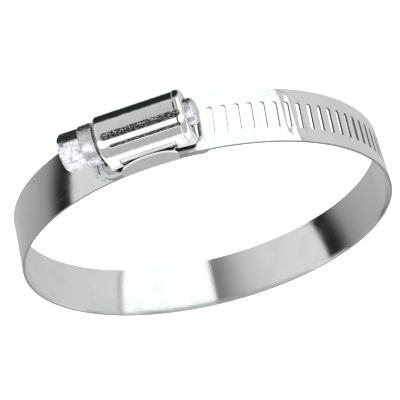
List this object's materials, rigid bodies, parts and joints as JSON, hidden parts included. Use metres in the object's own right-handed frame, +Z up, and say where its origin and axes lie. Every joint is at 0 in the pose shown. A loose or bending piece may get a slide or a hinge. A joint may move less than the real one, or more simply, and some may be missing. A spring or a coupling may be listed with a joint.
{
  "type": "hose clamp",
  "caption": "Worm-drive hose clamp: slotted steel band ring, pressed housing with saddle, and a hex-head worm screw that tightens it.",
  "frame": {"origin": "centre of the ring, on its axis, halfway across the band", "axes": "+Y along the ring's axis, +Z up through the middle of the housing, -X towards the screw's head"},
  "size_m": [0.0975, 0.0162, 0.1083],
  "materials": {
    "band_steel": "bright rolled stainless steel with fine grain along the band",
    "pressed_steel": "polished pressed stainless steel",
    "screw_steel": "bright zinc-plated turned steel"
  },
  "bodies": {
    "housing_group": {"housing": "pressed_steel", "saddle": "pressed_steel", "fixed_band_end": "band_steel"},
    "screw": {"screw": "screw_steel"},
    "slotted_band": {"slotted_band": "band_steel"},
    "band_link_01": {"band_link_01": "band_steel"},
    "band_link_02": {"band_link_02": "band_steel"},
    "band_link_03": {"band_link_03": "band_steel"},
    "band_link_04": {"band_link_04": "band_steel"},
    "band_link_05": {"band_link_05": "band_steel"},
    "band_link_06": {"band_link_06": "band_steel"},
    "band_link_07": {"band_link_07": "band_steel"},
    "band_link_08": {"band_link_08": "band_steel"},
    "band_link_09": {"band_link_09": "band_steel"},
    "band_link_10": {"band_link_10": "band_steel"}
  },
  "joints": [
    {"name": "screw_turn", "type": "hinge", "parent": "housing_group", "child": "screw", "pos_m": [0, 0, 0.05358], "axis": [1, 0, 0], "range_deg": [0, 7920]},
    {"name": "band_travel", "type": "hinge", "parent": "housing_group", "child": "slotted_band", "pos_m": [0, 0, 0], "axis": [0, -1, 0], "range_deg": [0, 82.18]},
    {"name": "band_link_01_bend", "type": "hinge", "parent": "housing_group", "child": "band_link_01", "pos_m": [-0.01318, 0, 0.04597], "axis": [0, -1, 0], "range_deg": [0, 11.24]},
    {"name": "band_link_02_bend", "type": "hinge", "parent": "band_link_01", "child": "band_link_02", "pos_m": [-0.03093, 0, 0.0366], "axis": [0, -1, 0], "range_deg": [0, 9.53]},
    {"name": "band_link_03_bend", "type": "hinge", "parent": "band_link_02", "child": "band_link_03", "pos_m": [-0.0433, 0, 0.02074], "axis": [0, -1, 0], "range_deg": [0, 7.96]},
    {"name": "band_link_04_bend", "type": "hinge", "parent": "band_link_03", "child": "band_link_04", "pos_m": [-0.04809, 0, 0.00118], "axis": [0, -1, 0], "range_deg": [0, 6.75]},
    {"name": "band_link_05_bend", "type": "hinge", "parent": "band_link_04", "child": "band_link_05", "pos_m": [-0.04443, 0, -0.01868], "axis": [0, -1, 0], "range_deg": [0, 6.08]},
    {"name": "band_link_06_bend", "type": "hinge", "parent": "band_link_05", "child": "band_link_06", "pos_m": [-0.03293, 0, -0.03532], "axis": [0, -1, 0], "range_deg": [0, 6.05]},
    {"name": "band_link_07_bend", "type": "hinge", "parent": "band_link_06", "child": "band_link_07", "pos_m": [-0.01559, 0, -0.0458], "axis": [0, -1, 0], "range_deg": [0, 6.68]},
    {"name": "band_link_08_bend", "type": "hinge", "parent": "band_link_07", "child": "band_link_08", "pos_m": [0.00456, 0, -0.04826], "axis": [0, -1, 0], "range_deg": [0, 7.85]},
    {"name": "band_link_09_bend", "type": "hinge", "parent": "band_link_08", "child": "band_link_09", "pos_m": [0.02399, 0, -0.04223], "axis": [0, -1, 0], "range_deg": [0, 9.38]},
    {"name": "band_link_10_bend", "type": "hinge", "parent": "band_link_09", "child": "band_link_10", "pos_m": [0.03927, 0, -0.02874], "axis": [0, -1, 0], "range_deg": [0, 11.06]}
  ],
  "couplings": [
    {"joint": "band_travel", "follows": "screw_turn", "ratio": 0.010363},
    {"joint": "band_link_01_bend", "follows": "screw_turn", "ratio": 0.0014134},
    {"joint": "band_link_02_bend", "follows": "screw_turn", "ratio": 0.0011969},
    {"joint": "band_link_03_bend", "follows": "screw_turn", "ratio": 0.00099872},
    {"joint": "band_link_04_bend", "follows": "screw_turn", "ratio": 0.00084578},
    {"joint": "band_link_05_bend", "follows": "screw_turn", "ratio": 0.00076125},
    {"joint": "band_link_06_bend", "follows": "screw_turn", "ratio": 0.00075823},
    {"joint": "band_link_07_bend", "follows": "screw_turn", "ratio": 0.0008369},
    {"joint": "band_link_08_bend", "follows": "screw_turn", "ratio": 0.00098448},
    {"joint": "band_link_09_bend", "follows": "screw_turn", "ratio": 0.0011778},
    {"joint": "band_link_10_bend", "follows": "screw_turn", "ratio": 0.0013899}
  ]
}
